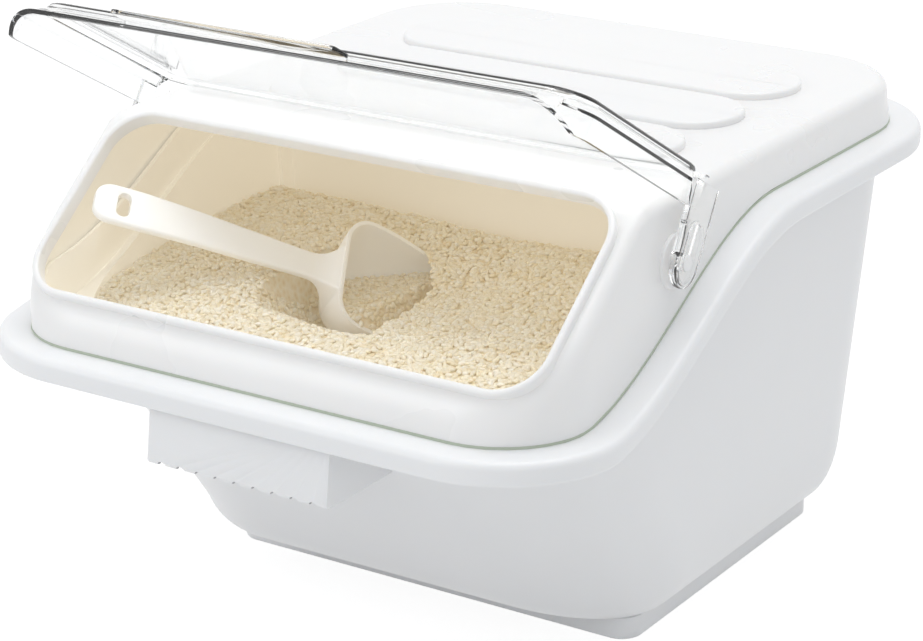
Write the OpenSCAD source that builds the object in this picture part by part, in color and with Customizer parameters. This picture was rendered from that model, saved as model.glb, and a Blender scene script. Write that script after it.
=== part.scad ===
// Slant-mouth rice bin with a clear flip lid, a lift-off cover and a scoop.
// Origin at the centre of the foot, on the surface it stands on.
// +X to the right of someone facing the mouth, +Y to the back, +Z up.

/* [Tub] */
// Width of the foot
foot_w = 244; // [220:1:256]
// Depth of the foot
foot_d = 198; // [180:1:210]
// Height of the foot
foot_h = 12; // [8:0.5:16]
// Corner radius of the foot
foot_r = 12; // [8:0.5:18]
// Wall thickness of the tub
tub_wall = 2.5; // [2:0.1:3]
// Floor thickness of the tub
floor_t = 2.5; // [2:0.1:4]
// How far the belly reaches past the foot at the sides
belly_side = 17.1; // [12:0.1:18.5]
// How far the belly reaches past the foot at the back
belly_back = 28.7; // [22:0.1:30]
// How far the belly reaches past the foot at the front
belly_front = 35.2; // [25:0.1:40]
// Height over which the sides round into the foot
belly_h = 31.5; // [24:0.5:40]
// Height over which the front rounds into the foot
belly_front_h = 22; // [16:0.5:30]
// Outward lean of the sides, mm per mm of height
side_lean = 0.069; // [0.05:0.001:0.074]
// Outward lean of the back, mm per mm of height
back_lean = 0.0677; // [0.05:0.001:0.074]
// Outward lean of the front wall, mm per mm of height
front_lean = 0.683; // [0.6:0.001:0.7]
// Corner radius of the tub at the back
tub_r_back = 52; // [40:1:56]
// Corner radius of the tub at the front
tub_r_front = 78; // [60:1:84]

/* [Seat and rim] */
// Height of the seat along the back
seat_high = 222.5; // [210:0.5:230]
// Height of the seat along the front
seat_low = 155.5; // [150:0.5:165]
// Y where the seat starts to fall
fall_start = -25; // [-40:1:-10]
// Y where the seat is level again
fall_end = -213; // [-216:1:-195]
// Width of the rim outside the cover's wall
rim_w = 16.7; // [14:0.1:20]
// Height of the rolled edge of the rim
rim_drop = 11.5; // [9:0.1:14]
// Thickness of the rim
rim_t = 2.6; // [2:0.1:3.4]
// Height of the upstand over the seat at the sides
upstand_h = 25; // [18:0.5:28]
// Height of the upstand over the seat at the front
upstand_front_h = 2; // [1.5:0.1:2.2]
// Highest point of the upstand
upstand_top = 232; // [228:0.5:234]
// Thickness of the upstand
upstand_t = 2.2; // [1.6:0.1:2.6]

/* [Handle] */
// Width of the pull under the front of the rim
handle_w = 104; // [80:1:120]
// Thickness of its walls
handle_t = 2.6; // [2:0.1:3.4]
// Height of the lower edge of its front plate
handle_z = 114; // [108:0.5:120]
// Depth of the grip shelf along its lower edge
grip_d = 13; // [10:0.5:18]
// Number of finger grooves in the shelf
grooves = 9; // [5:1:10]
// Radius of one groove
groove_r = 4; // [2.5:0.1:4.4]

/* [Cover] */
// Width of the cover's walls
hood_w = 314; // [300:1:318]
// Y of the cover's back wall
hood_back = 146; // [144:0.5:152]
// Y of the cover's front wall
hood_front = -243; // [-246:0.5:-242]
// Corner radius of the cover at the back
hood_r_back = 57; // [50:1:62]
// Corner radius of the cover at the front
hood_r_front = 47; // [40:1:52]
// Wall thickness of the cover
hood_wall = 2.5; // [2:0.1:2.8]
// Height of the flat roof
roof_z = 245.4; // [244:0.1:250]
// Edge rounding of the roof
roof_r = 6; // [4:0.5:8]
// How far the walls lean in up to the roof
hood_lean = 1.8; // [1:0.1:2.4]
// Height of the pads on the roof
pad_h = 3.6; // [2:0.1:4]
// Width of the pads
pad_w = 236; // [200:1:250]
// Depth of one pad
pad_d = 54; // [44:1:56]
// Distance from pad to pad
pad_pitch = 61; // [58:0.5:64]
// X of the middle of the pads
pad_x = 5.5; // [-8:0.5:8]
// Y of the middle of the rear pad
pad_y = 60; // [56:0.5:64]
// Thickness of the soft seal under the cover
seal_t = 1.2; // [0.8:0.1:2]

/* [Mouth] */
// Slope of the mouth, degrees
mouth_angle = 38.94; // [37:0.01:40]
// Y of the lower edge of the mouth
mouth_y = -232.7; // [-233.5:0.1:-231.5]
// Height of the lower edge of the mouth
mouth_z = 181.6; // [180:0.1:184]
// Width of the mouth
mouth_w = 288.8; // [270:0.1:290]
// Length of the mouth along the slope
mouth_l = 105.8; // [100:0.1:106.5]
// Corner radius of the mouth
mouth_r = 22; // [16:0.5:26]
// Thickness of the lip round the mouth
lip_t = 3.6; // [2.8:0.1:4]
// Height of the lip over the sloping face
lip_h = 4; // [3:0.1:5]

/* [Lid] */
// Y of the hinge axis
hinge_y = -123; // [-124:0.1:-122.5]
// Height of the hinge axis
hinge_z = 214.5; // [213.5:0.1:215]
// Angle of the opened lid over the horizontal, degrees
lid_open = 30.5; // [29:0.1:31]
// Thickness of the lid
lid_t = 2.2; // [1.8:0.1:2.6]
// Gap between the closed lid and the lip
lid_gap = 0.6; // [0.4:0.1:1]
// Height of the lid's raised middle over its border
plateau_h = 4.2; // [3:0.1:5]
// How far the lid reaches past the lip at each side
lid_over = 13; // [11.5:0.1:13.5]
// Depth of the skirts below the top of the lid
skirt_h = 21.2; // [18:0.1:23]
// Width of a hinge arm
arm_w = 24; // [18:0.5:25]
// Thickness of a hinge arm
arm_t = 3; // [2.4:0.1:3.6]
// Radius of a hinge pin
pin_r = 4; // [3:0.1:5]
// Radial play of the bore on its pin
pin_play = 0.06; // [0.03:0.01:0.1]
// Width of the finger tab on the front edge
tab_w = 128; // [80:1:150]
// X of the middle of the finger tab
tab_x = -27; // [-40:1:0]

/* [Divider] */
// Thickness of the divider
divider_t = 2.4; // [1.8:0.1:3]
// Y of the front face of the divider
divider_y = -10; // [-30:1:0]
// Height of the divider's upper edge
divider_top = 237; // [225:0.5:238]
// Depth of the divider's side flanges
divider_flange = 12; // [8:0.5:16]
// Gap between the divider and the tub
divider_gap = 0.4; // [0.3:0.1:0.8]

/* [Rice] */
// Height of the rice along the divider
rice_back = 172; // [160:1:180]
// Height of the rice along the front wall
rice_front = 150; // [140:1:153]
// Depth of the hollow dug by the scoop
dig_depth = 16; // [0:1:20]
// Radius of the hollow
dig_r = 60; // [40:1:70]
// Gap between the rice and the walls
rice_gap = 0.4; // [0.3:0.1:0.8]

/* [Scoop] */
// Length of the handle
scoop_handle = 128; // [100:1:129]
// Width of the handle
scoop_handle_w = 22; // [16:0.5:26]
// Thickness of the handle
scoop_handle_t = 4.5; // [3:0.1:6]
// Length of the bowl
bowl_l = 100; // [80:1:101]
// Width of the bowl
bowl_w = 65; // [56:1:68]
// Depth of the bowl at its back wall
bowl_h = 42; // [34:1:43]
// Wall thickness of the bowl
bowl_t = 2; // [1.6:0.1:2.6]
// Place of the bottom of the bowl's back wall
scoop_at = [-68.4, -98.1, 142.3];
// Turn of the scoop about X, then Y, then Z, degrees
scoop_turn = [39.8, 22.5, 43.5];

/* [Hidden] */
$fn = 64;

// steps of the outlines: per corner arc and per side
arc_steps = 8;
side_steps = 16;
half_n = 2 * arc_steps + side_steps + 1;

foot_top = foot_h + 1.5;
dig_at = [0, -95];
groove_in = 1.8;
groove_up = 1;
seal_z = 0.05;
cover_z = seal_z + seal_t + 0.05;
seat_play = 0.4;

function clamp01(t) = min(1, max(0, t));
function mix(a, b, t) = a + (b - a) * t;
function arc_points(cx, cy, r, from) =
    [for (i = [0:arc_steps]) [cx + r * cos(from + 90 * i / arc_steps), cy + r * sin(from + 90 * i / arc_steps)]];

// right half of a tray outline, from the middle of the front to the middle of the back
function half_plan(hw, back, front, r_back, r_front) = concat(
    arc_points(hw - r_front, front + r_front, r_front, 270),
    [for (i = [1:side_steps - 1]) [hw, mix(front + r_front, back - r_back, i / side_steps)]],
    arc_points(hw - r_back, back - r_back, r_back, 0));

function whole(half) = concat(half, [for (i = [len(half) - 1:-1:0]) [-half[i][0], half[i][1], half[i][2]]]);

// seat line: level at the back, an even S down to the level front
function seat(y) = mix(seat_low, seat_high, (1 + cos(180 * clamp01((fall_start - y) / (fall_start - fall_end)))) / 2);

// solid through a stack of rings of equal length, closed by strips across or joined end to start
module loft(rings, loop = false) {
    n = len(rings[0]);
    m = len(rings);
    last = loop ? m : m - 1;
    sides = [for (k = [0:last - 1], i = [0:n - 1])
        let (j = (i + 1) % n, a = k * n, b = ((k + 1) % m) * n)
        each [[a + i, b + i, b + j], [a + i, b + j, a + j]]];
    low = [for (i = [0:n / 2 - 2]) each [[i, i + 1, n - 2 - i], [i, n - 2 - i, n - 1 - i]]];
    top = (m - 1) * n;
    high = [for (f = low) [top + f[2], top + f[1], top + f[0]]];
    polyhedron([for (r = rings) each r], loop ? sides : concat(sides, low, high), convexity = 8);
}

// outline of the tub's wall at height z, inset by t
function belly(z, h) = z <= foot_top ? 0 : z >= foot_top + h ? 1 : sqrt(1 - pow(1 - (z - foot_top) / h, 2));
function tub_half(z, t) = let (up = max(0, z - foot_top)) half_plan(
    foot_w / 2 + belly_side * belly(z, belly_h) + side_lean * up - t,
    foot_d / 2 + belly_back * belly(z, belly_h) + back_lean * up - t,
    -(foot_d / 2 + belly_front * belly(z, belly_front_h) + front_lean * up - 1.2 * t),
    mix(foot_r, tub_r_back, belly(z, belly_h)) - t,
    mix(foot_r, tub_r_front, belly(z, belly_h)) - t);
function flat_ring(half, z) = whole([for (p = half) [p[0], p[1], z]]);
function tub_ring(z, t) = flat_ring(tub_half(z, t), z);

// ring of the tub's wall a share f of the way from the belly up to d below the seat
belly_top = foot_top + belly_h;
function wall_z(y, f, d) = mix(belly_top, seat(y) - d, f);
function wall_point(i, f, d, t, y, tries) =
    let (z = wall_z(y, f, d), p = tub_half(z, t)[i])
    tries == 0 ? [p[0], p[1], z] : wall_point(i, f, d, t, p[1], tries - 1);
function wall_ring(f, d, t) = whole([for (i = [0:half_n - 1])
    wall_point(i, f, d, t, tub_half(seat_low, t)[i][1], 3)]);

// outline round the seat, a distance out from the cover's wall
function seat_half(out) = half_plan(hood_w / 2 + out, hood_back + out, hood_front - out,
    hood_r_back + out, hood_r_front + out);
function seat_ring(out, up) = whole([for (p = seat_half(out)) [p[0], p[1], seat(p[1]) + up]]);

// top of the upstand: high at the sides, low where the front wall of the cover curves in
function upstand_z(y) = min(upstand_top,
    seat(y) + mix(upstand_front_h, upstand_h, clamp01((y - hood_front - 11) / 27)));
upstand_out = -hood_wall - seat_play;
upstand_lean = hood_lean + 0.2;
function slope_share(y) = clamp01((y + 150) / (-75));
function upstand_ring(out, down) = whole([for (i = [0:half_n - 1])
    let (p = seat_half(out - upstand_lean * (1 - slope_share(seat_half(out)[i][1])))[i])
    [p[0], p[1], upstand_z(p[1]) - down]]);

module tub_shell() {
    edge = 1;
    foot = [flat_ring(half_plan(foot_w / 2 - edge, foot_d / 2 - edge, -foot_d / 2 + edge,
            foot_r - edge, foot_r - edge), 0),
        tub_ring(edge, 0),
        tub_ring(foot_h, 0),
        tub_ring(foot_h + 0.1, groove_in),
        tub_ring(foot_top - 0.1, groove_in),
        tub_ring(foot_top, 0)];
    rounding = [for (s = [0.03, 0.12, 0.27, 0.5, 1]) foot_top + s * belly_h];
    belly_out = [for (z = rounding) tub_ring(z, 0)];
    wall_out = [for (f = [0.5, 1]) wall_ring(f, rim_t, 0)];
    // the rolled edge of the rim, as distance out and height over the seat
    roll = [[rim_w - 2.3, -rim_t], [rim_w - 2.3, 1 - rim_drop], [rim_w - 1.4, -rim_drop],
        [rim_w - 0.4, 0.7 - rim_drop], [rim_w, 2.4 - rim_drop], [rim_w, -4], [rim_w - 0.9, -1.5],
        [rim_w - 3.2, 0]];
    rim = [for (p = roll) seat_ring(p[0], p[1])];
    upstand = [seat_ring(upstand_out, 0),
        upstand_ring(upstand_out, 0.6),
        upstand_ring(upstand_out - upstand_t / 2, 0),
        upstand_ring(upstand_out - upstand_t, 0.6),
        seat_ring(upstand_out - upstand_t, 0)];
    wall_in = [for (f = [1, 0.5]) wall_ring(f, 0, tub_wall)];
    belly_in = [for (i = [len(rounding) - 1:-1:0]) tub_ring(rounding[i] + tub_wall * (1 - rounding[i] / belly_top),
        tub_wall)];
    inside = [flat_ring(tub_half(foot_top, tub_wall + groove_in), foot_top + groove_up),
        tub_ring(floor_t + 3, tub_wall + groove_in),
        flat_ring(half_plan(foot_w / 2 - 7, foot_d / 2 - 7, -foot_d / 2 + 7, foot_r - 6, foot_r - 6), floor_t)];
    loft(concat(foot, belly_out, wall_out, rim, upstand, wall_in, belly_in, inside));
}

// front face of the tub's wall at height z, on the middle line
function front_y(z) = -(foot_d / 2 + belly_front + front_lean * (z - foot_top));

// pull under the rim: a leaning front plate, two cheeks back to the wall and a grooved grip shelf
module handle() {
    top_z = seat_low - rim_t;
    top_y = hood_front - rim_w + 9.5;
    low_y = top_y - 5;
    low_in = front_y(handle_z) + 2;
    module side_plate(points, x, t) {
        translate([x, 0, 0]) rotate([90, 0, 90]) linear_extrude(t) polygon(points);
    }
    plate = [[top_y, top_z], [low_y, handle_z + 2], [low_y + 0.8, handle_z + 0.4], [low_y + 2, handle_z],
        [low_y + handle_t + 0.4, handle_z], [top_y + handle_t, top_z]];
    cheek = [[top_y + 0.5, top_z], [low_y + 0.5, handle_z + 2.5], [low_y + 2, handle_z], [low_in, handle_z],
        [front_y(top_z) + 1, top_z]];
    side_plate(plate, -handle_w / 2, handle_w);
    for (x = [-handle_w / 2, handle_w / 2 - handle_t]) side_plate(cheek, x, handle_t);
    // grip shelf with finger grooves running front to back
    pitch = (handle_w - 2 * handle_t) / grooves;
    difference() {
        translate([-handle_w / 2, low_y + 1, handle_z]) cube([handle_w, grip_d, 6.5]);
        for (i = [0:grooves - 1])
            translate([(i + 0.5 - grooves / 2) * pitch, low_y + 2.6, handle_z - 0.6])
                rotate([-90, 0, 0]) cylinder(h = grip_d + 1, r = groove_r, $fn = 32);
    }
}

module tub() {
    color("whitesmoke") {
        tub_shell();
        handle();
    }
}

// flat outline across the inside of the tub at the divider, by height
function across(z) = min(hood_w / 2 + upstand_out - upstand_t - (z > seat_high - 8 ? upstand_lean + 0.3 : 0),
    tub_half(z, tub_wall + (z < foot_top + 3 ? groove_in + 6 : 0.7))[arc_steps + side_steps / 2][0]) - divider_gap;
module divider() {
    heights = concat([floor_t + 3, foot_top + 0.9, foot_top + 2.9],
        [for (s = [0.05, 0.17, 0.3, 0.46, 0.68, 1]) foot_top + tub_wall + s * belly_h],
        [(belly_top + seat_high) / 2, seat_high - 8.1, seat_high - 7.9, divider_top - 8]);
    half = [for (z = heights) [across(z), z]];
    low = floor_t + divider_gap;
    side = concat([[foot_w / 2 - 14, low]], half, [[last_x(half) - 8, divider_top]]);
    outline = concat(side, [for (i = [len(side) - 1:-1:0]) [-side[i][0], side[i][1]]]);
    color("white") translate([0, divider_y + divider_t, 0]) rotate([90, 0, 0]) {
        linear_extrude(divider_t) polygon(outline);
        linear_extrude(divider_flange) difference() {
            polygon(outline);
            offset(delta = -divider_t) polygon(outline);
            translate([-hood_w / 2, divider_top - 12]) square([hood_w, 20]);
        }
    }
}
function last_x(points) = points[len(points) - 1][0];

// rice heaped in the front of the tub, clear of the scoop and of its way out
function heap_z(x, y) = let (t = clamp01((y - front_y(rice_front)) / (divider_y - front_y(rice_front))))
    mix(rice_front, rice_back, pow(sin(90 * t), 0.9)) + 5 * sin(180 * t) * cos(0.55 * x)
    - dig_depth * exp(-(pow(x - dig_at[0], 2) + pow(y - dig_at[1], 2)) / pow(dig_r, 2));
module rice() {
    nx = 12;
    ny = 10;
    back_y = divider_y - divider_flange - rice_gap;
    top = [for (j = [0:ny], i = [0:nx]) let (x = (i / nx - 0.5) * hood_w, y = mix(hood_front, back_y, j / ny))
        [x, y, heap_z(x, y)]];
    low = [for (p = top) [p[0], p[1], floor_t + rice_gap]];
    n = (nx + 1) * (ny + 1);
    cells = [for (j = [0:ny - 1], i = [0:nx - 1]) let (a = j * (nx + 1) + i, b = a + nx + 1)
        each [[a, b, b + 1], [a, b + 1, a + 1]]];
    under = [for (c = cells) [n + c[2], n + c[1], n + c[0]]];
    rim = concat([for (i = [0:nx]) i], [for (j = [1:ny]) j * (nx + 1) + nx],
        [for (i = [nx - 1:-1:0]) ny * (nx + 1) + i], [for (j = [ny - 1:-1:1]) j * (nx + 1)]);
    walls = [for (k = [0:len(rim) - 1]) let (a = rim[k], b = rim[(k + 1) % len(rim)])
        each [[a, b, n + b], [a, n + b, n + a]]];
    t = tub_wall + rice_gap;
    foot_in = tub_half(foot_top, t + groove_in + 4);
    heights = [foot_top + tub_wall + 1, foot_top + 0.12 * belly_h + tub_wall,
        foot_top + 0.3 * belly_h + tub_wall, foot_top + 0.6 * belly_h, belly_top + 2, seat_low + 24];
    color("wheat") difference() {
        intersection() {
            polyhedron(concat(top, low), concat(cells, under, walls), convexity = 6);
            loft(concat([for (z = [floor_t + rice_gap, foot_top + groove_up + rice_gap]) flat_ring(foot_in, z)],
                [for (z = heights) tub_ring(z, t + 0.3)]));
        }
        scoop_path();
    }
}

// sloping face of the cover: lip_h under the plane of the mouth
function mouth_plane(y) = mouth_z + (y - mouth_y) * tan(mouth_angle);
function hood_z(y, under) = min(roof_z - under, mouth_plane(y) - (lip_h + under) / cos(mouth_angle));
function edge_in(y) = mix(roof_r, 7.5, slope_share(y));
function edge_drop(y, under) = mix(roof_r, 16, slope_share(y)) + under * 0.4;

// ring of the cover's surface: a is 0 on the wall, 90 at the edge of the roof
function hood_ring(a, under) =
    let (out = -under, base = seat_half(out))
    whole([for (i = [0:half_n - 1])
        let (y0 = base[i][1], inset = hood_lean * (1 - slope_share(y0)) + edge_in(y0) * (1 - cos(a)),
            p = seat_half(out - inset)[i], z = hood_z(p[1], under) - edge_drop(y0, under) * (1 - sin(a)))
        [p[0], p[1], max(z, seat(p[1]) + cover_z + 0.2 + a / 100)]]);

// places things in the plane of the mouth: x across, y up the slope, z out of it
module on_mouth() {
    translate([0, mouth_y, mouth_z]) rotate([mouth_angle, 0, 0]) children();
}
module rounded(w, l, r) {
    translate([-w / 2 + r, 0]) square([w - 2 * r, l]);
    translate([-w / 2, r]) square([w, l - 2 * r]);
    for (x = [-w / 2 + r, w / 2 - r], y = [r, l - r]) translate([x, y]) circle(r);
}
module stadium(w, d) {
    square([w - d, d], center = true);
    for (x = [-1, 1]) translate([x * (w - d) / 2, 0]) circle(d / 2);
}

module hood_body(under, low) {
    angles = [0, 15, 30, 45, 60, 75, 90];
    loft(concat([whole([for (p = seat_half(-under)) [p[0], p[1], seat(p[1]) + low]])],
        [for (a = angles) hood_ring(a, under)]));
}

module cover() {
    boss_r = arm_w / 2 + 1.5;
    color("white") difference() {
        union() {
            hood_body(0, cover_z);
            on_mouth() translate([0, -lip_t, -lip_h - 4]) linear_extrude(lip_h + 4)
                rounded(mouth_w + 2 * lip_t, mouth_l + 2 * lip_t, mouth_r + lip_t);
            for (i = [0:2]) translate([pad_x, pad_y - i * pad_pitch, roof_z - 0.5]) {
                linear_extrude(pad_h - 0.6) stadium(pad_w, pad_d);
                linear_extrude(pad_h + 0.5) stadium(pad_w - 2.4, pad_d - 2.4);
            }
            for (s = [-1, 1]) translate([s * (hood_w / 2 - hood_lean), hinge_y, hinge_z]) rotate([0, 90 * s, 0]) {
                cylinder(h = hood_lean + 0.5, r = boss_r);
                cylinder(h = lid_hw + arm_t / 2 + 1 - hood_w / 2 + hood_lean, r = pin_r);
            }
        }
        difference() {
            hood_body(hood_wall, cover_z - 1);
            // the lip carries on a little way inside as a collar
            on_mouth() translate([0, 0, -lip_h - 4]) linear_extrude(lip_h + 4) difference() {
                translate([0, -lip_t]) rounded(mouth_w + 2 * lip_t, mouth_l + 2 * lip_t, mouth_r + lip_t);
                rounded(mouth_w, mouth_l, mouth_r);
            }
        }
        on_mouth() translate([0, 0, -lip_h - 12]) linear_extrude(lip_h + 30) rounded(mouth_w, mouth_l, mouth_r);
    }
}

module rim_seal() {
    rings = [seat_ring(-hood_wall + 0.3, seal_z), seat_ring(0.35, seal_z), seat_ring(0.35, seal_z + seal_t),
        seat_ring(-hood_wall + 0.3, seal_z + seal_t)];
    color("honeydew") loft(rings, loop = true);
}

// the lid lies flat in its own frame: hinge axis on X, front toward -Y, top toward +Z
mouth_n = (hinge_y - mouth_y) * sin(mouth_angle) + (mouth_z - hinge_z) * cos(mouth_angle);
mouth_a = (hinge_y - mouth_y) * cos(mouth_angle) + (hinge_z - mouth_z) * sin(mouth_angle);
plate_n = mouth_n + lid_gap;
lid_top = plate_n + lid_t;
lid_hw = mouth_w / 2 + lip_t + lid_over;
lid_front = -(mouth_a + lip_t + lid_gap);
lid_back = 10;
lid_rear_low = lid_top - 4;
lid_reach = 27.5;
lid_fold = lid_top - 9;

// lower edge: level along the sides, rising at the front to clear the rim, high along the back
function at_rear(y) = y > lid_back - 12;
function lid_low(y) = at_rear(y) ? lid_rear_low
    : max(lid_top - skirt_h, (seat_low + 1 - hinge_z - y * sin(mouth_angle)) / cos(mouth_angle));
function lid_plan(inset, back_in, front_in, r) = half_plan(lid_hw - inset, lid_back - back_in,
    lid_front - lid_reach + front_in, 10, r);
function lid_edge(inset, r) = whole([for (p = lid_plan(inset, inset, inset, r)) [p[0], p[1], lid_low(p[1])]]);
function lid_ring(inset, back_in, front_in, r, z) = whole([for (p = lid_plan(inset, back_in, front_in, r))
    [p[0], p[1], at_rear(p[1]) ? max(z, lid_rear_low + 0.1 + back_in / 20) : z]]);

module lid_shell() {
    border = lid_top - plateau_h;
    inside = [lid_ring(9.6, 5, 20.5, 18, plate_n),
        lid_ring(9.2, 4.8, 19.5, 19, plate_n - 0.8),
        lid_ring(8, 4.4, 17.5, 20, border - lid_t + 1),
        lid_ring(0.8 + lid_t, lid_t + 0.4, 4.6 + lid_t, 23, lid_fold - 1.4),
        lid_edge(lid_t, 24)];
    outside = [lid_edge(0, 26),
        lid_ring(0.7, 0.2, 4.6, 25, lid_fold),
        lid_ring(5.6, 0.6, 14.5, 22, border),
        lid_ring(6.8, 1, 16, 21, border + 0.2),
        lid_ring(7.6, 1.6, 18, 20, lid_top - 0.8),
        lid_ring(8.8, 2.6, 20, 18, lid_top)];
    loft(concat(inside, outside));
}

module hinge_arm(s) {
    translate([s * (lid_hw - lid_t / 2 + arm_t / 2) - arm_t / 2, 0, 0]) rotate([90, 0, 90])
        linear_extrude(arm_t) {
            circle(arm_w / 2);
            translate([-arm_w / 2, 0]) square([arm_w, lid_fold + 0.9]);
        }
}

// short lip along the front border, to lift the lid by
module finger_tab() {
    translate([tab_x, lid_front - lid_reach + 6.3, lid_top - plateau_h - 1.3]) linear_extrude(2.1)
        rounded_bar(tab_w, 15, 3);
}
module rounded_bar(w, d, r) {
    square([w - 2 * r, d], center = true);
    square([w, d - 2 * r], center = true);
    for (x = [-1, 1], y = [-1, 1]) translate([x * (w / 2 - r), y * (d / 2 - r)]) circle(r);
}

module lid() {
    color("lightcyan", 0.5) translate([0, hinge_y, hinge_z]) rotate([-lid_open, 0, 0]) difference() {
        union() {
            lid_shell();
            for (s = [-1, 1]) hinge_arm(s);
            finger_tab();
        }
        for (s = [-1, 1]) translate([s * (lid_hw - lid_t - 1), 0, 0]) rotate([0, 90 * s, 0])
            cylinder(h = arm_t + lid_t + 2, r = pin_r + pin_play);
    }
}

// the scoop lies along X in its own frame, handle toward -X, bowl open upward
u_steps = 15;
function u_ring(x, hw, h, t, top) = [for (i = [0:u_steps]) let (a = 180 + 180 * i / u_steps)
    [x, (hw - t) * cos(a), i == 0 || i == u_steps ? top : h + (h - t) * sin(a)]];
function bowl_hw(s) = bowl_w / 2 * (1 - 0.42 * pow(s, 3.2));
function bowl_depth(s) = mix(bowl_h, 5, pow(s, 1.25));
bowl_stations = [for (i = [0:8]) i / 8];

module bowl(grow) {
    loft([for (s = bowl_stations) u_ring(mix(-grow, bowl_l + grow, s), bowl_hw(s) + grow, bowl_depth(s) + grow,
        0, bowl_depth(s) + grow)]);
}

module scoop_shape() {
    difference() {
        bowl(0);
        loft([for (s = bowl_stations) u_ring(bowl_t + s * bowl_l, bowl_hw(s), bowl_depth(s), bowl_t, bowl_h + 2)]);
    }
    // flat handle with a round end and a hang slot across it
    translate([0, 0, bowl_h - 12]) difference() {
        linear_extrude(scoop_handle_t) {
            translate([-scoop_handle + 8, -scoop_handle_w / 2]) square([scoop_handle - 8 + bowl_t, scoop_handle_w]);
            for (y = [-1, 1]) translate([8 - scoop_handle, y * (scoop_handle_w / 2 - 8)]) circle(8);
            translate([-scoop_handle, 8 - scoop_handle_w / 2]) square([16, scoop_handle_w - 16]);
        }
        translate([14 - scoop_handle, 0, -1]) linear_extrude(scoop_handle_t + 2) rotate(90) stadium(15, 7);
    }
}

module place_scoop() {
    translate(scoop_at) rotate(scoop_turn) children();
}

// room for the bowl and its way out through the mouth
module scoop_path() {
    way_out = [0, -cos(lid_open), sin(lid_open)];
    hull() for (d = [0, 160]) translate(d * way_out) place_scoop() translate([0, 0, -rice_gap]) bowl(2);
}

module scoop() {
    color("ivory") place_scoop() scoop_shape();
}

tub();
divider();
rice();
cover();
rim_seal();
lid();
scoop();
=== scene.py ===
# Slant-mouth rice bin with a clear flip lid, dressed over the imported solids. Lengths are in mm until a mesh is made.
import math
import bmesh
import bpy
import numpy as np
from mathutils import Matrix, Vector
from mathutils.bvhtree import BVHTree


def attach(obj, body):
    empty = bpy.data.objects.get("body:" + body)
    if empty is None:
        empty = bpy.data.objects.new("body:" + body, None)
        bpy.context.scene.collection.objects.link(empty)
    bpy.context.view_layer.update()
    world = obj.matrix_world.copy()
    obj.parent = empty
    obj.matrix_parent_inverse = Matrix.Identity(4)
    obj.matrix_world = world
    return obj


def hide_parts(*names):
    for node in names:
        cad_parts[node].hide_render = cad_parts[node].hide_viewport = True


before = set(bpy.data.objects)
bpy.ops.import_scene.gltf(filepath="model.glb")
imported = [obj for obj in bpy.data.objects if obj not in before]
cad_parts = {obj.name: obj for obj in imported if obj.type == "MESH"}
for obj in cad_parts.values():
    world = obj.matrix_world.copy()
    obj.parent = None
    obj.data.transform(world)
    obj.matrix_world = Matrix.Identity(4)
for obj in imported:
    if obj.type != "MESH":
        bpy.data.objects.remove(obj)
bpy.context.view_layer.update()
MM = 0.001
rng = np.random.default_rng(11)

# ------------------------------------------------------------------ sizes, as in the part's source
FOOT_W, FOOT_D, FOOT_H, FOOT_R = 244, 198, 12, 12
TUB_WALL, FLOOR_T = 2.5, 2.5
BELLY_SIDE, BELLY_BACK, BELLY_FRONT, BELLY_H, BELLY_FRONT_H = 17.1, 28.7, 35.2, 31.5, 22
SIDE_LEAN, BACK_LEAN, FRONT_LEAN = 0.069, 0.0677, 0.683
TUB_R_BACK, TUB_R_FRONT = 52, 78
SEAT_HIGH, SEAT_LOW, FALL_START, FALL_END = 222.5, 155.5, -25, -213
RIM_W, RIM_DROP, RIM_T = 16.7, 11.5, 2.6
UP_H, UP_FRONT_H, UP_TOP, UP_T = 25, 2, 232, 2.2
HANDLE_W, HANDLE_T, HANDLE_Z, GRIP_D, GROOVES, GROOVE_R, NOTCH_R = 104, 2.6, 114, 13, 9, 4, 2.5
HOOD_W, HOOD_BACK, HOOD_FRONT, HOOD_R_BACK, HOOD_R_FRONT, HOOD_WALL = 314, 146, -243, 57, 47, 2.5
ROOF_Z, ROOF_R, HOOD_LEAN = 245.4, 6, 1.8
PAD_H, PAD_W, PAD_D, PAD_PITCH, PAD_X, PAD_Y = 3.6, 236, 54, 61, 5.5, 60
MOUTH_ANGLE, MOUTH_Y, MOUTH_Z, MOUTH_W, MOUTH_L, MOUTH_R = 38.94, -232.7, 181.6, 288.8, 105.8, 22
LIP_T, LIP_H = 3.6, 4
HINGE_Y, HINGE_Z, LID_OPEN, LID_T, LID_GAP = -123, 214.5, 30.5, 2.2, 0.6
PLATEAU_H, LID_OVER, SKIRT_H, ARM_W, ARM_T, PIN_R, PIN_PLAY = 4.2, 13, 21.2, 24, 3, 4, 0.06
TAB_W, TAB_X = 128, -27
RING_W, RING_L, SLIT_W, SLIT_L = 17, 31, 2, 15
DIVIDER_Y = -10
RICE_BACK, RICE_FRONT, LOAD_Z = 172, 150, 152
SCOOP_HANDLE, SCOOP_HANDLE_W, SCOOP_HANDLE_T = 128, 22, 4.5
BOWL_L, BOWL_W, BOWL_H, BOWL_T, BOWL_R = 100, 65, 42, 2, 15
SCOOP_AT, SCOOP_TURN = (-68.4, -98.1, 142.3), (39.8, 22.5, 43.5)
FOOT_TOP, GROOVE_IN, GROOVE_UP = FOOT_H + 1.5, 1.8, 1
SEAL_T = 1.2
COVER_Z, SEAT_PLAY = SEAL_T + 0.1, 0.4
UP_OUT, UP_LEAN = -HOOD_WALL - SEAT_PLAY, HOOD_LEAN + 0.2


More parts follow.
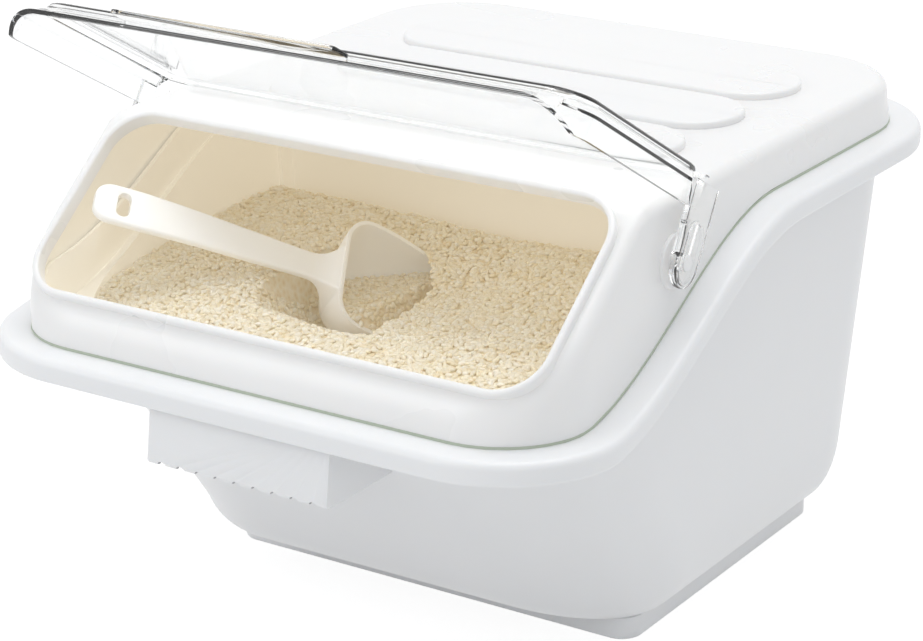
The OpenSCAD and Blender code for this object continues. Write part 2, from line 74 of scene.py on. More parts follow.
# ------------------------------------------------------------------ camera, light and floor
def camera():
    yaw, pitch, roll = math.radians(33.34), math.radians(20.14), math.radians(-0.39)
    right = Vector((math.cos(yaw), math.sin(yaw), 0))
    ahead = Vector((-math.sin(yaw) * math.cos(pitch), math.cos(yaw) * math.cos(pitch), -math.sin(pitch)))
    up = right.cross(ahead)
    across = right * math.cos(roll) + up * math.sin(roll)
    upward = up * math.cos(roll) - right * math.sin(roll)
    data = bpy.data.cameras.new("camera")
    data.sensor_width, data.lens = 36, 2950 / 923 * 36
    data.clip_end = 50
    cam = bpy.data.objects.new("camera", data)
    bpy.context.scene.collection.objects.link(cam)
    turn = Matrix((across, upward, -ahead)).transposed().to_4x4()
    cam.matrix_world = Matrix.Translation((0.7786, -1.2471, 0.6559)) @ turn
    bpy.context.scene.camera = cam


def area_light(name, at, target, size, watts, colour=(1, 1, 1)):
    data = bpy.data.lights.new(name, "AREA")
    data.shape, data.size, data.energy, data.color = "DISK", size, watts, colour
    lamp = bpy.data.objects.new(name, data)
    bpy.context.scene.collection.objects.link(lamp)
    way = Vector(target) - Vector(at)
    lamp.matrix_world = Matrix.Translation(at) @ way.to_track_quat("-Z", "Y").to_matrix().to_4x4()


def nodes_of(material):
    material.use_nodes = True
    tree = material.node_tree
    tree.nodes.clear()
    return tree, tree.nodes, tree.links


def seen_directly(tree):
    """1 for rays from the camera, off gloss and through glass."""
    path = tree.nodes.new("ShaderNodeLightPath")
    most = tree.nodes.new("ShaderNodeMath")
    most.operation, most.use_clamp = "ADD", True
    second = tree.nodes.new("ShaderNodeMath")
    second.operation, second.use_clamp = "ADD", True
    tree.links.new(path.outputs["Is Camera Ray"], most.inputs[0])
    tree.links.new(path.outputs["Is Glossy Ray"], most.inputs[1])
    tree.links.new(most.outputs[0], second.inputs[0])
    tree.links.new(path.outputs["Is Transmission Ray"], second.inputs[1])
    return second.outputs[0]


def studio():
    world = bpy.data.worlds.new("studio")
    bpy.context.scene.world = world
    world.use_nodes = True
    tree = world.node_tree
    tree.nodes.clear()
    light = tree.nodes.new("ShaderNodeBackground")
    light.inputs["Color"].default_value = (0.96, 0.98, 1, 1)
    light.inputs["Strength"].default_value = 0.71
    shown = tree.nodes.new("ShaderNodeBackground")
    shown.inputs["Color"].default_value = (1, 1, 1, 1)
    shown.inputs["Strength"].default_value = 1
    mix = tree.nodes.new("ShaderNodeMixShader")
    out = tree.nodes.new("ShaderNodeOutputWorld")
    tree.links.new(seen_directly(tree), mix.inputs[0])
    tree.links.new(light.outputs[0], mix.inputs[1])
    tree.links.new(shown.outputs[0], mix.inputs[2])
    tree.links.new(mix.outputs[0], out.inputs["Surface"])

    mesh = bpy.data.meshes.new("floor")
    mesh.from_pydata([(-6, -6, 0), (6, -6, 0), (6, 9, 0), (-6, 9, 0)], [], [(0, 1, 2, 3)])
    floor = bpy.data.objects.new("floor", mesh)
    bpy.context.scene.collection.objects.link(floor)
    paint = bpy.data.materials.new("floor_paint")
    tree, nodes, links = nodes_of(paint)
    lit = nodes.new("ShaderNodeBsdfDiffuse")
    lit.inputs["Color"].default_value = (0.86, 0.86, 0.86, 1)
    glow = nodes.new("ShaderNodeEmission")
    glow.inputs["Strength"].default_value = 1.22
    mix = nodes.new("ShaderNodeMixShader")
    keep = nodes.new("ShaderNodeMath")
    keep.operation = "MULTIPLY"
    keep.inputs[1].default_value = 0.72
    out = nodes.new("ShaderNodeOutputMaterial")
    links.new(seen_directly(tree), keep.inputs[0])
    links.new(keep.outputs[0], mix.inputs[0])
    links.new(lit.outputs[0], mix.inputs[1])
    links.new(glow.outputs[0], mix.inputs[2])
    links.new(mix.outputs[0], out.inputs["Surface"])
    mesh.materials.append(paint)

    area_light("top_softbox", (0.2, 0.25, 2.1), (0, -0.05, 0.2), 1.6, 13.5)
    area_light("front_softbox", (-1.3, -1.9, 1.2), (0, -0.05, 0.15), 1.2, 8.5)


# ------------------------------------------------------------------ materials
def plastic(name, colour, warm, roughness, grain=0.03, through=0.0, glow=0.0):
    """Moulded plastic: faint clouding in the colour, uneven gloss and a fine skin of orange peel."""
    mat = bpy.data.materials.new(name)
    tree, nodes, links = nodes_of(mat)
    out = nodes.new("ShaderNodeOutputMaterial")
    skin = nodes.new("ShaderNodeBsdfPrincipled")
    links.new(skin.outputs[0], out.inputs["Surface"])
    skin.inputs["IOR"].default_value = 1.49
    # painted glow: an emission that stands in for daylight coming through the thin white walls
    skin.inputs["Emission Color"].default_value = (1, 0.93, 0.79, 1)
    skin.inputs["Emission Strength"].default_value = glow
    if through:
        skin.inputs["Subsurface Weight"].default_value = through
        skin.inputs["Subsurface Radius"].default_value = (1, 0.85, 0.7)
        skin.inputs["Subsurface Scale"].default_value = 0.004
    place = nodes.new("ShaderNodeTexCoord")
    cloud = nodes.new("ShaderNodeTexNoise")
    cloud.inputs["Scale"].default_value = 14
    cloud.inputs["Detail"].default_value = 3
    links.new(place.outputs["Object"], cloud.inputs["Vector"])
    tint = nodes.new("ShaderNodeMix")
    tint.data_type = "RGBA"
    tint.inputs["A"].default_value = (*colour, 1)
    tint.inputs["B"].default_value = (*warm, 1)
    links.new(cloud.outputs["Fac"], tint.inputs["Factor"])
    links.new(tint.outputs["Result"], skin.inputs["Base Color"])
    fine = nodes.new("ShaderNodeTexNoise")
    fine.inputs["Scale"].default_value = 900
    fine.inputs["Detail"].default_value = 2
    links.new(place.outputs["Object"], fine.inputs["Vector"])
    gloss = nodes.new("ShaderNodeMapRange")
    gloss.inputs["To Min"].default_value = roughness - 0.05
    gloss.inputs["To Max"].default_value = roughness + 0.06
    links.new(cloud.outputs["Fac"], gloss.inputs["Value"])
    links.new(gloss.outputs["Result"], skin.inputs["Roughness"])
    bump = nodes.new("ShaderNodeBump")
    bump.inputs["Strength"].default_value = grain
    bump.inputs["Distance"].default_value = 0.0003
    links.new(fine.outputs["Fac"], bump.inputs["Height"])
    links.new(bump.outputs["Normal"], skin.inputs["Normal"])
    return mat


def clear_plastic():
    mat = bpy.data.materials.new("clear_lid_plastic")
    tree, nodes, links = nodes_of(mat)
    out = nodes.new("ShaderNodeOutputMaterial")
    skin = nodes.new("ShaderNodeBsdfPrincipled")
    skin.inputs["Transmission Weight"].default_value = 1
    skin.inputs["IOR"].default_value = 1.5
    place = nodes.new("ShaderNodeTexCoord")
    haze = nodes.new("ShaderNodeTexNoise")
    haze.inputs["Scale"].default_value = 30
    haze.inputs["Detail"].default_value = 4
    links.new(place.outputs["Object"], haze.inputs["Vector"])
    gloss = nodes.new("ShaderNodeMapRange")
    gloss.inputs["To Min"].default_value = 0.008
    gloss.inputs["To Max"].default_value = 0.035
    links.new(haze.outputs["Fac"], gloss.inputs["Value"])
    links.new(gloss.outputs["Result"], skin.inputs["Roughness"])
    # painted shade: the plastic's colour greys where it is seen edge on, in place of the dark edges that reflection
    # gives clear plastic
    edge = nodes.new("ShaderNodeLayerWeight")
    edge.inputs["Blend"].default_value = 0.22
    dark = nodes.new("ShaderNodeValToRGB")
    dark.color_ramp.elements[0].position, dark.color_ramp.elements[0].color = 0.35, (0.985, 0.99, 0.99, 1)
    dark.color_ramp.elements[1].position, dark.color_ramp.elements[1].color = 0.97, (0.6, 0.61, 0.62, 1)
    links.new(edge.outputs["Facing"], dark.inputs["Fac"])
    links.new(dark.outputs["Color"], skin.inputs["Base Color"])
    bump = nodes.new("ShaderNodeBump")
    bump.inputs["Strength"].default_value = 0.05
    bump.inputs["Distance"].default_value = 0.0004
    links.new(haze.outputs["Fac"], bump.inputs["Height"])
    links.new(bump.outputs["Normal"], skin.inputs["Normal"])
    # light passes it on its way to what lies under it
    path = nodes.new("ShaderNodeLightPath")
    clear = nodes.new("ShaderNodeBsdfTransparent")
    clear.inputs["Color"].default_value = (0.93, 0.94, 0.94, 1)
    # a ray that has bent often enough inside goes on straight
    deep = nodes.new("ShaderNodeMath")
    deep.operation = "GREATER_THAN"
    deep.inputs[1].default_value = 4.5
    links.new(path.outputs["Transmission Depth"], deep.inputs[0])
    straight = nodes.new("ShaderNodeMath")
    straight.operation = "MAXIMUM"
    links.new(path.outputs["Is Shadow Ray"], straight.inputs[0])
    links.new(deep.outputs[0], straight.inputs[1])
    mix = nodes.new("ShaderNodeMixShader")
    links.new(straight.outputs[0], mix.inputs[0])
    links.new(skin.outputs[0], mix.inputs[1])
    links.new(clear.outputs[0], mix.inputs[2])
    links.new(mix.outputs[0], out.inputs["Surface"])
    return mat


def rice_material(name, per_grain):
    mat = bpy.data.materials.new(name)
    tree, nodes, links = nodes_of(mat)
    out = nodes.new("ShaderNodeOutputMaterial")
    skin = nodes.new("ShaderNodeBsdfPrincipled")
    skin.inputs["IOR"].default_value = 1.5
    skin.inputs["Subsurface Weight"].default_value = 0.25
    skin.inputs["Subsurface Radius"].default_value = (1, 0.8, 0.55)
    skin.inputs["Subsurface Scale"].default_value = 0.0015
    links.new(skin.outputs[0], out.inputs["Surface"])
    place = nodes.new("ShaderNodeTexCoord")
    tone = nodes.new("ShaderNodeValToRGB")
    tone.color_ramp.elements[0].color = (0.76, 0.63, 0.42, 1)
    tone.color_ramp.elements[1].color = (0.93, 0.88, 0.77, 1)
    middle = tone.color_ramp.elements.new(0.35)
    middle.color = (0.86, 0.76, 0.57, 1)
    if per_grain:
        shade = nodes.new("ShaderNodeAttribute")
        shade.attribute_name = "shade"
        links.new(shade.outputs["Fac"], tone.inputs["Fac"])
    else:
        cells = nodes.new("ShaderNodeTexVoronoi")
        cells.inputs["Scale"].default_value = 300
        links.new(place.outputs["Object"], cells.inputs["Vector"])
        links.new(cells.outputs["Distance"], tone.inputs["Fac"])
    fine = nodes.new("ShaderNodeTexNoise")
    fine.inputs["Scale"].default_value = 1400
    links.new(place.outputs["Object"], fine.inputs["Vector"])
    gloss = nodes.new("ShaderNodeMapRange")
    gloss.inputs["To Min"].default_value = 0.3
    gloss.inputs["To Max"].default_value = 0.55
    links.new(fine.outputs["Fac"], gloss.inputs["Value"])
    links.new(gloss.outputs["Result"], skin.inputs["Roughness"])
    bump = nodes.new("ShaderNodeBump")
    bump.inputs["Strength"].default_value = 0.15
    bump.inputs["Distance"].default_value = 0.0003
    links.new(fine.outputs["Fac"], bump.inputs["Height"])
    links.new(bump.outputs["Normal"], skin.inputs["Normal"])
    links.new(tone.outputs["Color"], skin.inputs["Base Color"])
    # painted glow: an emission that stands in for light coming through the neighbouring grains
    skin.inputs["Emission Color"].default_value = (1, 0.85, 0.62, 1)
    skin.inputs["Emission Strength"].default_value = 0.055
    return mat


# ------------------------------------------------------------------ outlines
ARC, SIDE = 20, 44
N = 2 * ARC + SIDE + 1


def mix(a, b, t):
    return a + (b - a) * t


def share(t):
    return np.clip(t, 0, 1)


def half_plan(hw, back, front, r_back, r_front):
    """Right half of a tray outline, from the middle of the front to the middle of the back. Values may vary by point."""
    hw, back, front, r_back, r_front = (np.broadcast_to(np.asarray(v, float), N) for v in (hw, back, front, r_back, r_front))
    i = np.arange(N)
    first, last = i <= ARC, i >= ARC + SIDE
    a = np.radians(np.where(first, 270 + 90 * i / ARC, 90 * (i - ARC - SIDE) / ARC))
    r = np.where(first, r_front, r_back)
    cy = np.where(first, front + r_front, back - r_back)
    x = np.where(first | last, hw - r + r * np.cos(a), hw)
    y = np.where(first | last, cy + r * np.sin(a), mix(front + r_front, back - r_back, (i - ARC) / SIDE))
    return np.stack([x, y], 1)


def ring(half, z):
    """Whole ring of points from a right half and its heights."""
    right = np.column_stack([half, np.broadcast_to(z, len(half))])
    left = right[::-1] * (-1, 1, 1)
    return np.vstack([right, left])


def seat(y):
    return mix(SEAT_LOW, SEAT_HIGH, (1 + np.cos(np.pi * share((FALL_START - y) / (FALL_START - FALL_END)))) / 2)


def belly(z, h):
    s = share((np.asarray(z, float) - FOOT_TOP) / h)
    return np.sqrt(1 - (1 - s) ** 2)


def tub_half(z, t):
    up = np.maximum(0, np.asarray(z, float) - FOOT_TOP)
    wide = belly(z, BELLY_H)
    return half_plan(
        FOOT_W / 2 + BELLY_SIDE * wide + SIDE_LEAN * up - t,
        FOOT_D / 2 + BELLY_BACK * wide + BACK_LEAN * up - t,
        -(FOOT_D / 2 + BELLY_FRONT * belly(z, BELLY_FRONT_H) + FRONT_LEAN * up - 1.2 * t),
        mix(FOOT_R, TUB_R_BACK, wide) - t,
        mix(FOOT_R, TUB_R_FRONT, wide) - t)


BELLY_TOP = FOOT_TOP + BELLY_H


def wall_ring(f, d, t):
    y = tub_half(SEAT_LOW, t)[:, 1]
    for _ in range(4):
        z = mix(BELLY_TOP, seat(y) - d, f)
        half = tub_half(z, t)
        y = half[:, 1]
    return ring(half, mix(BELLY_TOP, seat(y) - d, f))


def seat_half(out):
    return half_plan(HOOD_W / 2 + out, HOOD_BACK + out, HOOD_FRONT - out, HOOD_R_BACK + out, HOOD_R_FRONT + out)


def seat_ring(out, up):
    half = seat_half(out)
    return ring(half, seat(half[:, 1]) + up)


def slope_share(y):
    return share((y + 150) / -75)


def upstand_ring(out, down):
    lean = UP_LEAN * (1 - slope_share(seat_half(out)[:, 1]))
    half = seat_half(out - lean)
    y = half[:, 1]
    top = np.minimum(UP_TOP, seat(y) + mix(UP_FRONT_H, UP_H, share((y - HOOD_FRONT - 11) / 27)))
    return ring(half, top - down)


# ------------------------------------------------------------------ meshes
def loft(rings, loop=False):
    """Vertices and faces of the solid through a stack of rings."""
    rings = [np.asarray(r, float) for r in rings]
    n, m = len(rings[0]), len(rings)
    faces = []
    for k in range(m if loop else m - 1):
        a, b = k * n, (k + 1) % m * n
        faces += [(a + i, a + (i + 1) % n, b + (i + 1) % n, b + i) for i in range(n)]
    if not loop:
        top = (m - 1) * n
        caps = [(i, i + 1, n - 2 - i, n - 1 - i) for i in range(n // 2 - 1)]
        faces += [f[::-1] for f in caps] + [tuple(top + v for v in f) for f in caps]
    return np.vstack(rings), faces


def make(name, verts, faces, material=None):
    """A closed mesh object from millimetres, faces pointing out."""
    mesh = bpy.data.meshes.new(name)
    mesh.from_pydata((np.asarray(verts, float) * MM).tolist(), [], faces)
    obj = bpy.data.objects.new(name, mesh)
    bpy.context.scene.collection.objects.link(obj)
    bm = bmesh.new()
    bm.from_mesh(mesh)
    bmesh.ops.remove_doubles(bm, verts=bm.verts, dist=1e-6)
    bmesh.ops.dissolve_degenerate(bm, dist=1e-7, edges=bm.edges)
    bmesh.ops.recalc_face_normals(bm, faces=bm.faces)
    bm.to_mesh(mesh)
    bm.free()
    if material:
        mesh.materials.append(material)
    return obj


def prism(outline, z0, z1, turn=None, edge=0.0, steps=3):
    """Straight solid on a closed outline, its two end edges rounded by edge; turn places it."""
    outline = np.asarray(outline, float)
    nxt, prv = np.roll(outline, -1, 0), np.roll(outline, 1, 0)
    way = nxt - prv
    norm = np.stack([way[:, 1], -way[:, 0]], 1)
    norm /= np.maximum(np.linalg.norm(norm, axis=1, keepdims=True), 1e-9)
    area = np.sum(outline[:, 0] * nxt[:, 1] - nxt[:, 0] * outline[:, 1])
    if area < 0:
        norm = -norm
    levels = [(0, z0), (0, z1)]
    if edge:
        angles = [90 * k / steps for k in range(steps + 1)]
        low = [(edge * (1 - math.sin(math.radians(a))), z0 + edge * (1 - math.cos(math.radians(a)))) for a in angles]
        high = [(edge * (1 - math.sin(math.radians(a))), z1 - edge * (1 - math.cos(math.radians(a)))) for a in angles[::-1]]
        levels = low + high
    n = len(outline)
    verts, faces = [], []
    for inset, z in levels:
        verts += [(p[0] - d[0] * inset, p[1] - d[1] * inset, z) for p, d in zip(outline, norm)]
    for k in range(len(levels) - 1):
        a, b = k * n, (k + 1) * n
        faces += [(a + i, a + (i + 1) % n, b + (i + 1) % n, b + i) for i in range(n)]
    faces.append(tuple(range(n))[::-1])
    faces.append(tuple(range((len(levels) - 1) * n, len(levels) * n)))
    verts = np.array(verts)
    if turn is not None:
        verts = np.array([list(turn @ Vector(v)) for v in verts])
    return verts, faces


def rounded_rect(x0, x1, y0, y1, r, steps=10):
    pts = []
    for cx, cy, a0 in ((x1 - r, y1 - r, 0), (x0 + r, y1 - r, 90), (x0 + r, y0 + r, 180), (x1 - r, y0 + r, 270)):
        for k in range(steps + 1):
            a = math.radians(a0 + 90 * k / steps)
            pts.append((cx + r * math.cos(a), cy + r * math.sin(a)))
    return pts


def apply_modifiers(obj):
    bpy.context.view_layer.update()
    mesh = bpy.data.meshes.new_from_object(obj.evaluated_get(bpy.context.evaluated_depsgraph_get()))
    old = obj.data
    obj.modifiers.clear()
    obj.data = mesh
    bpy.data.meshes.remove(old)


def combine(obj, others, operation):
    for other in others:
        if obj.data.materials and not other.data.materials:
            other.data.materials.append(obj.data.materials[0])
        step = obj.modifiers.new("step", "BOOLEAN")
        step.operation, step.object, step.solver = operation, other, "MANIFOLD"
        step.material_mode = "TRANSFER"
        apply_modifiers(obj)
        bpy.data.objects.remove(other)
    return obj


def soften(obj, width, segments=2, angle=40):
    step = obj.modifiers.new("edges", "BEVEL")
    step.width, step.segments, step.limit_method, step.angle_limit = width * MM, segments, "ANGLE", math.radians(angle)
    step.miter_outer = "MITER_ARC"
    step.use_clamp_overlap = True
    apply_modifiers(obj)
    return obj


def split(obj):
    """Triangles only, so that a cut leaves no face that folds over itself."""
    bm = bmesh.new()
    bm.from_mesh(obj.data)
    bmesh.ops.triangulate(bm, faces=bm.faces)
    bm.to_mesh(obj.data)
    bm.free()
    return obj


def finish_piece(obj, body, angle=32, replaces=()):
    obj.data.shade_smooth()
    obj.data.set_sharp_from_angle(angle=math.radians(angle))
    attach(obj, body)
    for node in replaces:
        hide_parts(node)
    return obj


def axes(origin, x, y, z):
    turn = Matrix((x, y, z)).transposed().to_4x4()
    return Matrix.Translation(origin) @ turn


# ------------------------------------------------------------------ tub
def front_y(z):
    return -(FOOT_D / 2 + BELLY_FRONT + FRONT_LEAN * (z - FOOT_TOP))


def quarter(a, b, steps, bulge):
    """Points from a to b on an elliptic quarter; bulge 0 turns late in the first value, 1 late in the second."""
    pts = []
    for k in range(1, steps + 1):
        s, c = math.sin(math.pi / 2 * k / steps), 1 - math.cos(math.pi / 2 * k / steps)
        u, v = (s, c) if bulge else (c, s)
        pts.append((mix(a[0], b[0], u), mix(a[1], b[1], v)))
    return pts


def tub(material, inner):
    foot = [ring(half_plan(FOOT_W / 2 - e, FOOT_D / 2 - e, -FOOT_D / 2 + e, FOOT_R - e, FOOT_R - e), z)
            for e, z in ((4, 0), (1.2, 0), (0.6, 0.2), (0.15, 0.7), (0, 1.4))]
    foot += [ring(tub_half(z, t), z) for z, t in (
        (FOOT_H - 0.8, 0), (FOOT_H - 0.25, 0.2), (FOOT_H, 0.8), (FOOT_H + 0.12, GROOVE_IN),
        (FOOT_TOP - 0.12, GROOVE_IN), (FOOT_TOP - 0.02, 0.9), (FOOT_TOP, 0.05))]
    rounding = [FOOT_TOP + (1 - math.cos(math.pi / 2 * k / 12)) * BELLY_H for k in range(1, 13)]
    belly_out = [ring(tub_half(z, 0), z) for z in rounding]
    wall_out = [wall_ring(f, RIM_T, 0) for f in np.linspace(0, 1, 9)[1:]]
    roll = [(RIM_W - 2.5, -RIM_T), (RIM_W - 2.3, -RIM_T - 0.3), (RIM_W - 2.3, 1 - RIM_DROP)]
    roll += quarter((RIM_W - 2.3, 1 - RIM_DROP), (RIM_W - 1.4, -RIM_DROP), 3, 0)
    roll += quarter((RIM_W - 1.2, -RIM_DROP), (RIM_W, 2.4 - RIM_DROP), 4, 1)
    roll += [(RIM_W, -4.2)] + quarter((RIM_W, -4.2), (RIM_W - 4.2, 0), 7, 0)
    rim = [seat_ring(*p) for p in roll]
    upstand = [seat_ring(UP_OUT, 0), upstand_ring(UP_OUT, 0.9), upstand_ring(UP_OUT - 0.3, 0.3),
               upstand_ring(UP_OUT - UP_T / 2, 0), upstand_ring(UP_OUT - UP_T + 0.3, 0.3),
               upstand_ring(UP_OUT - UP_T, 0.9), seat_ring(UP_OUT - UP_T, 0)]
    wall_in = [wall_ring(f, 0, TUB_WALL) for f in np.linspace(1, 0, 9)[:-1]]
    belly_in = [ring(tub_half(z + TUB_WALL * (1 - z / BELLY_TOP), TUB_WALL), z + TUB_WALL * (1 - z / BELLY_TOP))
                for z in rounding[::-1]]
    inside = [ring(tub_half(FOOT_TOP, TUB_WALL + GROOVE_IN), z) for z in (FOOT_TOP + GROOVE_UP, FLOOR_T + 3)]
    inside += [ring(half_plan(FOOT_W / 2 - e, FOOT_D / 2 - e, -FOOT_D / 2 + e, FOOT_R - 6, FOOT_R - 6), z)
               for e, z in ((5.1, FLOOR_T + 1), (7, FLOOR_T))]
    rings = foot + belly_out + wall_out + rim + upstand + wall_in + belly_in + inside
    body = make("tub_shell", *loft(rings), material)
    body.data.materials.append(inner)
    hw, r = HOOD_W / 2 + UP_OUT, HOOD_R_FRONT + UP_OUT
    for face in body.data.polygons:
        # the inside faces the middle of the tub, or is a ledge within the upstand; these faces take the inner material,
        # whose warm tint and glow are painted light
        x, y, z = np.array(face.center) / MM
        past = math.hypot(max(0, abs(x) - hw + r), max(0, HOOD_FRONT - UP_OUT + r - y, y - HOOD_BACK - UP_OUT + r))
        if z > 3 and past < r and z < UP_TOP - 0.5:
            inward = face.normal.dot(Vector((-x, -40 - y, 0))) > 0
            ledge = face.normal.z > 0.3 and (z > 100 or abs(x) < FOOT_W / 2 - 5 and abs(y) < FOOT_D / 2 - 5)
            if inward or ledge:
                face.material_index = 1
    return body


def handle(material, shade):
    top_z = SEAT_LOW - RIM_T
    top_y = HOOD_FRONT - RIM_W + 9.5
    low_y = top_y - 5
    low_in = front_y(HANDLE_Z) + 2
    plate = [(top_y, top_z), (low_y, HANDLE_Z + 2), (low_y + 0.8, HANDLE_Z + 0.4), (low_y + 2, HANDLE_Z),
             (low_y + HANDLE_T + 0.4, HANDLE_Z), (top_y + HANDLE_T, top_z)]
    cheek = [(top_y + 0.5, top_z), (low_y + 0.5, HANDLE_Z + 2.5), (low_y + 2, HANDLE_Z), (low_in, HANDLE_Z),
             (front_y(top_z) + 1, top_z)]
    to_side = axes((0, 0, 0), (0, 1, 0), (0, 0, 1), (1, 0, 0))
    piece = make("pull", *prism(plate, -HANDLE_W / 2, HANDLE_W / 2, to_side), material)
    parts = [make("cheek", *prism(cheek, x, x + HANDLE_T, to_side)) for x in (-HANDLE_W / 2, HANDLE_W / 2 - HANDLE_T)]
    # the shelf's outline runs along X with its finger grooves, and is drawn out along Y
    pitch = (HANDLE_W - 2 * HANDLE_T) / GROOVES
    under = []
    for i in range(GROOVES):
        cx, cz = (i + 0.5 - GROOVES / 2) * pitch, HANDLE_Z - 0.6
        a0 = math.asin(0.6 / GROOVE_R)
        for k in range(13):
            a = math.pi - a0 - (math.pi - 2 * a0) * k / 12
            under.append((cx + GROOVE_R * math.cos(a), cz + GROOVE_R * math.sin(a)))
    outline = [(-HANDLE_W / 2 + 0.3, HANDLE_Z)] + under + [(HANDLE_W / 2 - 0.3, HANDLE_Z)]
    outline += [(HANDLE_W / 2 - 0.3, HANDLE_Z + 6.5), (-HANDLE_W / 2 + 0.3, HANDLE_Z + 6.5)]
    to_front = axes((0, 0, 0), (1, 0, 0), (0, 0, 1), (0, -1, 0))
    shelf = make("shelf", *prism(outline, -(low_y + 1 + GRIP_D), -(low_y + 2.6), to_front))
    combine(piece, parts + [shelf], "UNION")
    # the notches' cut faces take the dark grey: painted shade in the grooves
    notches = []
    for i in range(GROOVES):
        cut = [(x + (i + 0.5 - GROOVES / 2) * pitch, z + HANDLE_Z - 0.3) for x, z in circle(NOTCH_R, 24)]
        notches.append(make("notch", *prism(cut, -(low_y + 9), -(low_y - 3), to_front), shade))
    combine(piece, notches, "DIFFERENCE")
    return soften(piece, 0.4, 2, 50)


# ------------------------------------------------------------------ cover
TAN, COS = math.tan(math.radians(MOUTH_ANGLE)), math.cos(math.radians(MOUTH_ANGLE))
SIN = math.sin(math.radians(MOUTH_ANGLE))


def hood_z(y, under):
    return np.minimum(ROOF_Z - under, MOUTH_Z + (y - MOUTH_Y) * TAN - (LIP_H + under) / COS)


def hood_ring(a, under):
    base = seat_half(-under)
    y0 = base[:, 1]
    slope = slope_share(y0)
    a = math.radians(a)
    inset = HOOD_LEAN * (1 - slope) + mix(ROOF_R, 7.5, slope) * (1 - math.cos(a))
    half = seat_half(-under - inset)
    z = hood_z(half[:, 1], under) - (mix(ROOF_R, 16, slope) + under * 0.4) * (1 - math.sin(a))
    return ring(half, np.maximum(z, seat(half[:, 1]) + COVER_Z + 0.2 + math.degrees(a) / 100))


def hood(name, under, low, material=None):
    half = seat_half(-under)
    base = [ring(half, seat(half[:, 1]) + low)]
    return make(name, *loft(base + [hood_ring(a, under) for a in np.linspace(0, 90, 13)]), material)


ON_MOUTH = axes((0, MOUTH_Y, MOUTH_Z), (1, 0, 0), (0, COS, SIN), (0, -SIN, COS))


def mouth_outline(grow):
    return rounded_rect(-MOUTH_W / 2 - grow, MOUTH_W / 2 + grow, -grow, MOUTH_L + grow, MOUTH_R + grow, 14)


def lip(name):
    """Ring round the mouth with a rounded upper edge, carried on below the face as a collar."""
    depth = LIP_H + 4
    half = LIP_T / 2
    section = [(0.2, -depth), (0, -depth + 0.3), (0, -half)]
    section += quarter((0, -half * 0.8), (half, 0), 5, 0)
    section += quarter((half, 0), (LIP_T, -half * 0.8), 5, 1)
    section += [(LIP_T, -depth + 0.3), (LIP_T - 0.2, -depth)]
    rings = [np.column_stack([mouth_outline(g), np.full(60, z)]) for g, z in section]
    verts, faces = loft(rings, loop=True)
    return make(name, np.array([list(ON_MOUTH @ Vector(v)) for v in verts]), faces)


def pad(index):
    turn = Matrix.Translation((PAD_X, PAD_Y - index * PAD_PITCH, ROOF_Z - 0.5))
    outline = rounded_rect(-PAD_W / 2, PAD_W / 2, -PAD_D / 2, PAD_D / 2, PAD_D / 2 - 0.01, 20)
    return make("pad", *prism(outline, -0.6, PAD_H + 0.5, turn, edge=1.6, steps=6))


def circle(r, steps=48):
    return [(r * math.cos(2 * math.pi * k / steps), r * math.sin(2 * math.pi * k / steps)) for k in range(steps)]


def cover(material, inner):
    shell = split(hood("cover_shell", 0, COVER_Z, material))
    # the cut leaves the hood's inside in the inner material, whose warm tint and glow are painted light
    combine(shell, [split(hood("inner", HOOD_WALL, COVER_Z - 1, inner))], "DIFFERENCE")
    hole = make("hole", *prism(mouth_outline(LIP_T / 2), -LIP_H - 14, LIP_H + 18, ON_MOUTH), material)
    combine(shell, [hole], "DIFFERENCE")
    parts = [lip("lip")] + [split(pad(i)) for i in range(3)]
    for s in (-1, 1):
        side = axes((s * (HOOD_W / 2 - HOOD_LEAN), HINGE_Y, HINGE_Z), (0, 0, -1), (0, -s, 0), (s, 0, 0))
        parts.append(make("boss", *prism(circle(ARM_W / 2 + 1.5), -1, HOOD_LEAN + 0.5, side, edge=0.5)))
        parts.append(make("pin", *prism(circle(PIN_R), -1, LID_HW + ARM_T / 2 + 1 - HOOD_W / 2 + HOOD_LEAN, side, edge=0.5)))
    for part in parts:
        part.data.materials.append(material)
    combine(shell, parts, "UNION")
    return shell


# ------------------------------------------------------------------ lid
MOUTH_N = (HINGE_Y - MOUTH_Y) * SIN + (MOUTH_Z - HINGE_Z) * COS
MOUTH_A = (HINGE_Y - MOUTH_Y) * COS + (HINGE_Z - MOUTH_Z) * SIN
PLATE_N = MOUTH_N + LID_GAP
LID_TOP = PLATE_N + LID_T
LID_HW = MOUTH_W / 2 + LIP_T + LID_OVER
LID_FRONT = -(MOUTH_A + LIP_T + LID_GAP)
LID_BACK, LID_REACH = 10, 27.5
LID_REAR_LOW, LID_FOLD = LID_TOP - 4, LID_TOP - 9
LID_TURN = Matrix.Translation((0, HINGE_Y, HINGE_Z)) @ Matrix.Rotation(math.radians(-LID_OPEN), 4, "X")


def lid_plan(inset, back_in, front_in, r):
    return half_plan(LID_HW - inset, LID_BACK - back_in, LID_FRONT - LID_REACH + front_in, 10, r)


def lid_low(y):
    side = np.maximum(LID_TOP - SKIRT_H, (SEAT_LOW + 1 - HINGE_Z - y * SIN) / COS)
    return np.where(y > LID_BACK - 12, LID_REAR_LOW, side)


def lid_edge(inset, r):
    half = lid_plan(inset, inset, inset, r)
    return ring(half, lid_low(half[:, 1]))


def lid_ring(inset, back_in, front_in, r, z):
    half = lid_plan(inset, back_in, front_in, r)
    return ring(half, np.where(half[:, 1] > LID_BACK - 12, np.maximum(z, LID_REAR_LOW + 0.1 + back_in / 20), z))


